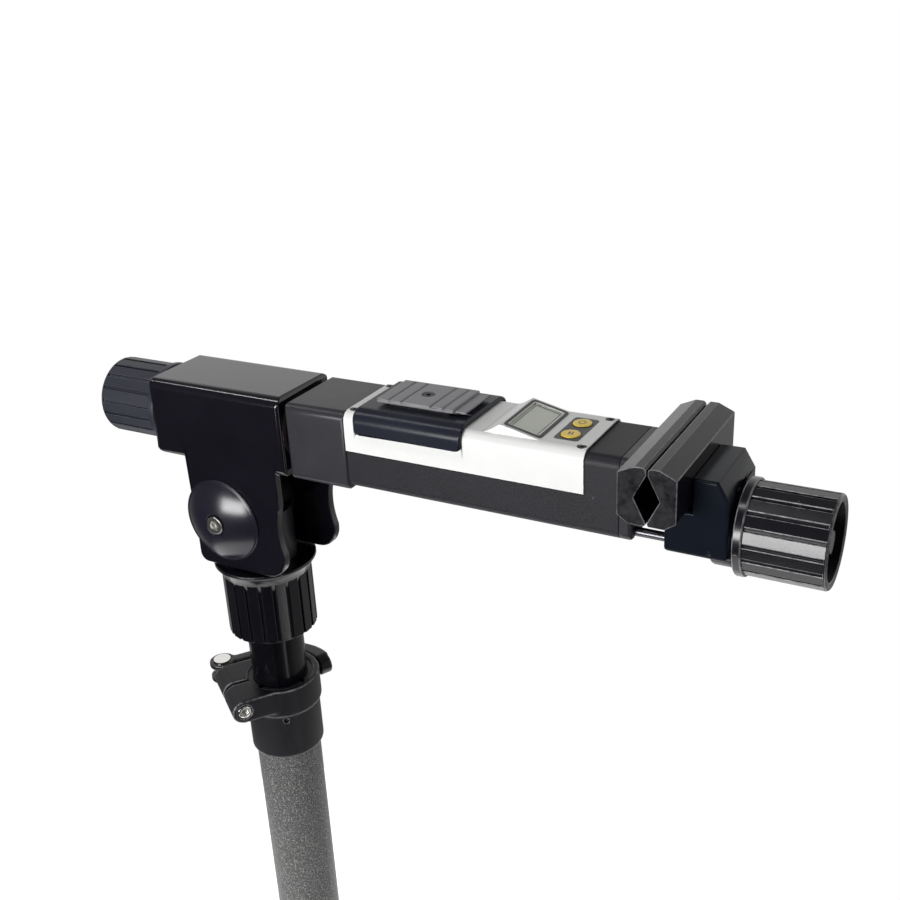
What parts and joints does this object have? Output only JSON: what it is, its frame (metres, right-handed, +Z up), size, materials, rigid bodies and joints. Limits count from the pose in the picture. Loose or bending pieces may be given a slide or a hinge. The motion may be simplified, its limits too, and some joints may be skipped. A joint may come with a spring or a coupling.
{
  "type": "bicycle repair stand",
  "caption": "Folding bicycle repair stand: tripod, telescoping mast with lever clamp, tilting head, and a turning arm with a built-in scale and a screw clamp with notched pads.",
  "frame": {"origin": "on the floor, on the axis of the mast", "axes": "+Z up along the mast, +X along the arm towards the jaws, +Y to the arm's left"},
  "size_m": [0.8302, 0.9524, 1.136],
  "materials": {
    "speckled_grey_tube": "satin speckled grey",
    "black_tube": "satin black",
    "gloss_black_casting": "gloss black",
    "satin_black_casting": "satin black",
    "charcoal_beam": "matte textured charcoal",
    "clamp_grey": "satin dark grey",
    "black_lever": "satin black",
    "tripod_black": "satin black",
    "bright_steel": "bright",
    "dark_steel": "turned",
    "screw_steel": "blackened",
    "scale_silver": "satin silver",
    "cell_aluminium": "machined",
    "knob_plastic": "satin dark blue-black",
    "jaw_knob_plastic": "gloss black",
    "collar_plastic": "gloss black",
    "cap_plastic": "satin plum black",
    "bush_plastic": "natural nylon",
    "black_nylon": "black nylon",
    "disc_fibre": "pressed fibre",
    "saddle_plastic": "satin black",
    "shoe_grey": "matte dark grey",
    "bezel_grey": "satin grey",
    "clear_lens": "clear",
    "liquid_crystal": "grey-green",
    "gold_button": "gold",
    "board_green": "solder mask",
    "cell_steel": "bright",
    "nut_brass": "turned",
    "pad_rubber": "scuffed",
    "foot_rubber": "matte"
  },
  "bodies": {
    "mast": {"lower_tube": "speckled_grey_tube", "leg_hub": "tripod_black", "hub_pins": "bright_steel", "clamp_body": "clamp_grey", "clamp_bolt": "bright_steel", "barrel_pin": "bright_steel", "guide_bush": "black_nylon"},
    "clamp_lever": {"clamp_lever": "black_lever"},
    "upper_mast": {"upper_tube": "black_tube", "guide_ring": "black_nylon", "knuckle": "satin_black_casting", "pivot_bushes": "bush_plastic"},
    "lock_collar": {"lock_collar": "collar_plastic"},
    "head": {"head_fork": "gloss_black_casting", "pivot_caps": "cap_plastic", "pivot_bolt": "bright_steel", "pivot_nut": "bright_steel", "pivot_sleeve": "bright_steel", "spindle_bushes": "bush_plastic"},
    "arm": {"arm_spindle": "dark_steel", "friction_disc": "disc_fibre", "arm_root": "satin_black_casting", "arm_beam": "charcoal_beam", "load_cell": "cell_aluminium", "scale_cover": "scale_silver", "cover_screws": "screw_steel", "display_frame": "bezel_grey", "display_lens": "clear_lens", "display_panel": "liquid_crystal", "button_frame": "bezel_grey", "circuit_board": "board_green", "battery": "cell_steel", "shoe_saddle": "saddle_plastic", "shoe_plate": "shoe_grey", "shoe_screw": "bright_steel", "end_block": "satin_black_casting", "fixed_pad": "pad_rubber", "clamp_screw": "dark_steel", "guide_rods": "dark_steel"},
    "rear_knob": {"rear_knob": "knob_plastic", "rear_knob_nut": "nut_brass"},
    "power_button": {"power_button": "gold_button"},
    "unit_button": {"unit_button": "gold_button"},
    "moving_jaw": {"moving_jaw": "gloss_black_casting", "moving_pad": "pad_rubber"},
    "jaw_knob": {"jaw_knob": "jaw_knob_plastic", "jaw_knob_nut": "nut_brass", "thrust_washer": "bright_steel"},
    "leg_slider": {"leg_slider": "tripod_black", "slider_pins": "bright_steel"},
    "hand_screw": {"hand_screw": "knob_plastic"},
    "strut_1": {"strut_1": "tripod_black"},
    "leg_1": {"leg_1": "speckled_grey_tube", "foot_1": "foot_rubber"},
    "strut_2": {"strut_2": "tripod_black"},
    "leg_2": {"leg_2": "speckled_grey_tube", "foot_2": "foot_rubber"},
    "strut_3": {"strut_3": "tripod_black"},
    "leg_3": {"leg_3": "speckled_grey_tube", "foot_3": "foot_rubber"}
  },
  "joints": [
    {"name": "lever_swing", "type": "hinge", "parent": "mast", "child": "clamp_lever", "pos_m": [-0.05225, -0.00636, 0.8767], "axis": [0, 0, 1], "range_deg": [0, 120]},
    {"name": "mast_slide", "type": "slide", "parent": "mast", "child": "upper_mast", "axis": [0, 0, 1], "range_m": [0, 0.45]},
    {"name": "collar_slide", "type": "slide", "parent": "upper_mast", "child": "lock_collar", "axis": [0, 0, -1], "range_m": [0, 0.0431]},
    {"name": "head_tilt", "type": "hinge", "parent": "upper_mast", "child": "head", "pos_m": [-0.009, 0, 1.029], "axis": [0, 1, 0], "range_deg": [0, 74]},
    {"name": "arm_turn", "type": "hinge", "parent": "head", "child": "arm", "pos_m": [0, 0, 1.1], "axis": [1, 0, 0], "continuous": true},
    {"name": "rear_knob_turn", "type": "hinge", "parent": "arm", "child": "rear_knob", "pos_m": [-0.0614, 0, 1.1], "axis": [-1, 0, 0], "range_deg": [0, 360]},
    {"name": "power_press", "type": "slide", "parent": "arm", "child": "power_button", "axis": [0, 0, 1], "range_m": [-0.0008, 0], "stiffness_N_per_m": 600},
    {"name": "unit_press", "type": "slide", "parent": "arm", "child": "unit_button", "axis": [0, 0, 1], "range_m": [-0.0008, 0], "stiffness_N_per_m": 600},
    {"name": "jaw_slide", "type": "slide", "parent": "arm", "child": "moving_jaw", "axis": [1, 0, 0], "range_m": [0, 0.025]},
    {"name": "jaw_knob_turn", "type": "hinge", "parent": "moving_jaw", "child": "jaw_knob", "pos_m": [0.352, 0, 1.085], "axis": [1, 0, 0], "range_deg": [0, 1800.1]},
    {"name": "strut_fold_1", "type": "hinge", "parent": "mast", "child": "strut_1", "pos_m": [0.048, 0, 0.08], "axis": [0, -1, 0], "range_deg": [0, 53]},
    {"name": "leg_fold_1", "type": "hinge", "parent": "strut_1", "child": "leg_1", "pos_m": [0.23457, 0, 0.19658], "axis": [0, 1, 0], "range_deg": [0, 106.01]},
    {"name": "strut_fold_2", "type": "hinge", "parent": "mast", "child": "strut_2", "pos_m": [-0.024, 0.04157, 0.08], "axis": [0.866, 0.5, 0], "range_deg": [0, 53]},
    {"name": "leg_fold_2", "type": "hinge", "parent": "strut_2", "child": "leg_2", "pos_m": [-0.11729, 0.20314, 0.19658], "axis": [-0.866, -0.5, 0], "range_deg": [0, 106.01]},
    {"name": "strut_fold_3", "type": "hinge", "parent": "mast", "child": "strut_3", "pos_m": [-0.024, -0.04157, 0.08], "axis": [-0.866, 0.5, 0], "range_deg": [0, 53]},
    {"name": "leg_fold_3", "type": "hinge", "parent": "strut_3", "child": "leg_3", "pos_m": [-0.11729, -0.20314, 0.19658], "axis": [0.866, -0.5, 0], "range_deg": [0, 106.01]},
    {"name": "slider_fold", "type": "hinge", "parent": "leg_1", "child": "leg_slider", "pos_m": [0.048, 0, 0.31316], "axis": [0, -1, 0], "range_deg": [0, 53]},
    {"name": "hand_screw_turn", "type": "hinge", "parent": "leg_slider", "child": "hand_screw", "pos_m": [-0.041, 0, 0.31316], "axis": [-1, 0, 0], "range_deg": [0, 720]}
  ],
  "couplings": [
    {"joint": "collar_slide", "follows": "head_tilt", "m_per_rad": 0.033232},
    {"joint": "jaw_knob_turn", "follows": "jaw_slide", "rad_per_m": 1256.6},
    {"joint": "leg_fold_1", "follows": "strut_fold_1", "ratio": 2},
    {"joint": "strut_fold_2", "follows": "strut_fold_1", "ratio": 1},
    {"joint": "leg_fold_2", "follows": "strut_fold_1", "ratio": 2},
    {"joint": "strut_fold_3", "follows": "strut_fold_1", "ratio": 1},
    {"joint": "leg_fold_3", "follows": "strut_fold_1", "ratio": 2},
    {"joint": "slider_fold", "follows": "strut_fold_1", "ratio": 1}
  ]
}
